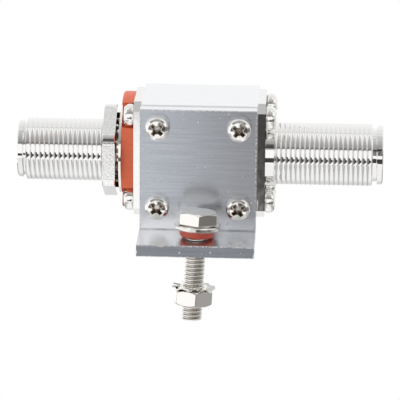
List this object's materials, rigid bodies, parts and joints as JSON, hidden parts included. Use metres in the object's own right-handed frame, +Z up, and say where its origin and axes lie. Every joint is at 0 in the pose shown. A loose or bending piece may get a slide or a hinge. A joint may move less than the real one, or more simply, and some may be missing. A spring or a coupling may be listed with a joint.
{
  "type": "coaxial surge protector",
  "caption": "Coaxial surge protector: metal body block with a threaded jack at each end, one with a bulkhead nut and gasket, on an L bracket with a ground bolt.",
  "frame": {"origin": "on the underside of the bracket's foot, mid-width, straight below the leg's front face", "axes": "+X along the coaxial line from the gasketed jack to the plain jack, +Y from the foot's front edge back to the body block, +Z up from the foot"},
  "size_m": [0.1154, 0.0518, 0.0648],
  "materials": {
    "block_aluminium": "satin",
    "bracket_aluminium": "brushed",
    "nickel_shell": "polished nickel plate",
    "nut_steel": "matte nickel plate",
    "screw_steel": "polished",
    "washer_steel": "plain",
    "silicone_red": "smooth",
    "white_ptfe": "smooth",
    "silvered_brass": "silver plate",
    "tube_ceramic": "glazed",
    "tube_metal": "nickel plate",
    "capacitor_ceramic": "smooth",
    "spring_steel": "plain"
  },
  "bodies": {
    "housing": {"body_block": "block_aluminium", "mounting_bracket": "bracket_aluminium", "bracket_screws": "screw_steel", "left_jack_shell": "nickel_shell", "right_jack_shell": "nickel_shell", "left_flange_screws": "screw_steel", "right_flange_screws": "screw_steel", "left_insulator": "white_ptfe", "right_insulator": "white_ptfe", "left_contact": "silvered_brass", "right_contact": "silvered_brass", "left_retaining_ring": "nickel_shell", "right_retaining_ring": "nickel_shell", "surge_line": "silvered_brass", "output_line": "silvered_brass", "dc_block_capacitor": "capacitor_ceramic", "capacitor_sleeve": "white_ptfe", "gas_tube_inner_end": "tube_metal", "gas_tube_outer_end": "tube_metal", "gas_tube_body": "tube_ceramic", "gas_tube_plug": "tube_metal", "gas_tube_springs": "spring_steel", "silicone_gasket": "silicone_red", "ground_bolt": "screw_steel", "ground_flat_washer": "washer_steel", "ground_rubber_washer": "silicone_red"},
    "bulkhead_washer_body": {"bulkhead_lock_washer": "washer_steel"},
    "bulkhead_nut_body": {"bulkhead_nut": "nut_steel"},
    "ground_washer_body": {"ground_star_washer": "washer_steel"},
    "ground_nut_body": {"ground_nut": "screw_steel"}
  },
  "joints": [
    {"name": "bulkhead_nut_travel", "type": "slide", "parent": "housing", "child": "bulkhead_washer_body", "axis": [-1, 0, 0], "range_m": [0, 0.0241]},
    {"name": "bulkhead_nut_spin", "type": "hinge", "parent": "bulkhead_washer_body", "child": "bulkhead_nut_body", "pos_m": [-0.0284, 0.0192, 0.0237], "axis": [-1, 0, 0], "range_deg": [0, 5760]},
    {"name": "ground_nut_travel", "type": "slide", "parent": "housing", "child": "ground_washer_body", "axis": [0.0485, 0.1115, 0.9926], "range_m": [-0.0039, 0.0103]},
    {"name": "ground_nut_spin", "type": "hinge", "parent": "ground_washer_body", "child": "ground_nut_body", "pos_m": [-0.0008, -0.01074, -0.01453], "axis": [0.0485, 0.1115, 0.9926], "range_deg": [-1080, 2880]}
  ],
  "couplings": [
    {"joint": "bulkhead_nut_travel", "follows": "bulkhead_nut_spin", "m_per_rad": 0.00023873},
    {"joint": "ground_nut_travel", "follows": "ground_nut_spin", "m_per_rad": 0.00020213}
  ]
}
